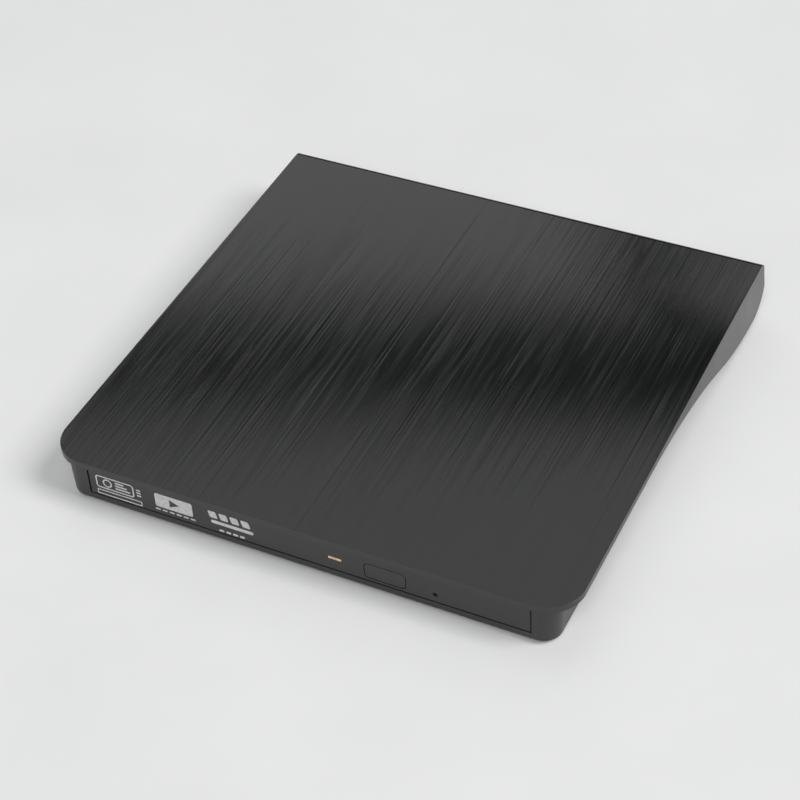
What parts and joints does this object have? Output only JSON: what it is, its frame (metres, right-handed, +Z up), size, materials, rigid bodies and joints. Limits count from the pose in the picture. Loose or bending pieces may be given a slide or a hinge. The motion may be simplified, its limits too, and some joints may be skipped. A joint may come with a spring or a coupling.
{
  "type": "external optical drive",
  "caption": "Slim tray-loading optical disc drive in a wedge-shaped desktop case, with a sliding tray, spindle, laser pickup and eject button.",
  "frame": {"origin": "under the middle of the object's box, at the level the feet stand on", "axes": "+X to the right facing the tray, +Y to the back, +Z up"},
  "size_m": [0.148, 0.145, 0.0194],
  "materials": {
    "cover": "satin, fine brushed lines on the top face",
    "base": "satin",
    "feet": "matte",
    "bezel": "satin",
    "button": "satin",
    "light": "translucent",
    "screw_steel": "zinc plated",
    "green_board": "solder mask",
    "chip_plastic": "matte",
    "plated_shell": "nickel plated",
    "connector_plastic": "matte",
    "sheet_steel": "zinc coated sheet",
    "foam": "open cell",
    "ribbon": "flexible film",
    "rail_plastic": "matte",
    "tray_plastic": "fine matte grain",
    "polished_rod": "polished",
    "damper_rubber": "soft",
    "hub_plastic": "satin",
    "sled_metal": "die cast",
    "lens_plastic": "satin",
    "lens": "coated"
  },
  "bodies": {
    "enclosure": {"base_shell": "base", "board_screws": "screw_steel", "bracket_screw": "screw_steel", "bridge_board": "green_board", "bridge_chips": "chip_plastic", "bridge_passives": "chip_plastic", "case_screws": "screw_steel", "drive_chassis": "sheet_steel", "drive_lid": "sheet_steel", "flat_cable": "ribbon", "flat_cable_clamp": "connector_plastic", "foam_strip": "foam", "latch_pin": "screw_steel", "main_board": "green_board", "main_chips": "chip_plastic", "rail_guide_left": "rail_plastic", "rail_guide_right": "rail_plastic", "rear_bracket": "sheet_steel", "rubber_feet": "feet", "sata_plug": "connector_plastic", "sata_receptacle": "connector_plastic", "top_cover": "cover", "usb_socket": "plated_shell"},
    "spindle": {"spindle_rotor": "polished_rod", "turntable": "hub_plastic"},
    "pickup": {"pickup_sled": "sled_metal", "lens_holder": "lens_plastic", "objective_lens": "lens", "sled_nut": "tray_plastic"},
    "feed_screw": {"lead_screw": "polished_rod"},
    "button": {"eject_button": "button"},
    "latch": {"latch_lever": "tray_plastic"},
    "left_rail": {"slide_rail_left": "sheet_steel"},
    "right_rail": {"slide_rail_right": "sheet_steel"},
    "tray": {"disc_tray": "tray_plastic", "tray_bezel": "bezel", "front_board": "green_board", "eject_switch": "chip_plastic", "light_guide": "light", "tray_bottom_cover": "sheet_steel", "traverse_frame": "sheet_steel", "traverse_cover": "sheet_steel", "guide_rods": "polished_rod", "feed_motor": "polished_rod", "rubber_dampers": "damper_rubber", "spindle_base": "sheet_steel", "latch_pivot": "screw_steel", "latch_solenoid": "polished_rod"}
  },
  "joints": [
    {"name": "tray_slide", "type": "slide", "parent": "enclosure", "child": "tray", "axis": [0, -1, 0], "range_m": [0, 0.122]},
    {"name": "left_rail_slide", "type": "slide", "parent": "enclosure", "child": "left_rail", "axis": [0, -1, 0], "range_m": [0, 0.062]},
    {"name": "right_rail_slide", "type": "slide", "parent": "enclosure", "child": "right_rail", "axis": [0, -1, 0], "range_m": [0, 0.062]},
    {"name": "disc_spin", "type": "hinge", "parent": "tray", "child": "spindle", "pos_m": [0.0005, -0.005, 0.009], "axis": [0, 0, 1], "continuous": true},
    {"name": "pickup_slide", "type": "slide", "parent": "tray", "child": "pickup", "axis": [0.7071, -0.7071, 0], "range_m": [0, 0.034]},
    {"name": "feed_screw_spin", "type": "hinge", "parent": "tray", "child": "feed_screw", "pos_m": [0.03699, -0.0166, 0.0059], "axis": [0.7071, -0.7071, 0], "range_deg": [0, 4100]},
    {"name": "eject_press", "type": "slide", "parent": "tray", "child": "button", "axis": [0, 1, 0], "range_m": [0, 0.0008], "stiffness_N_per_m": 400, "springref_m": -0.0005},
    {"name": "latch_swing", "type": "hinge", "parent": "tray", "child": "latch", "pos_m": [-0.0523, -0.0634, 0.0045], "axis": [0, 0, 1], "range_deg": [0, 20], "stiffness_Nm_per_rad": 0.0005, "springref_deg": -5.73}
  ],
  "couplings": [
    {"joint": "left_rail_slide", "follows": "tray_slide", "ratio": 0.5},
    {"joint": "right_rail_slide", "follows": "tray_slide", "ratio": 0.5},
    {"joint": "feed_screw_spin", "follows": "pickup_slide", "rad_per_m": 2094.4}
  ]
}
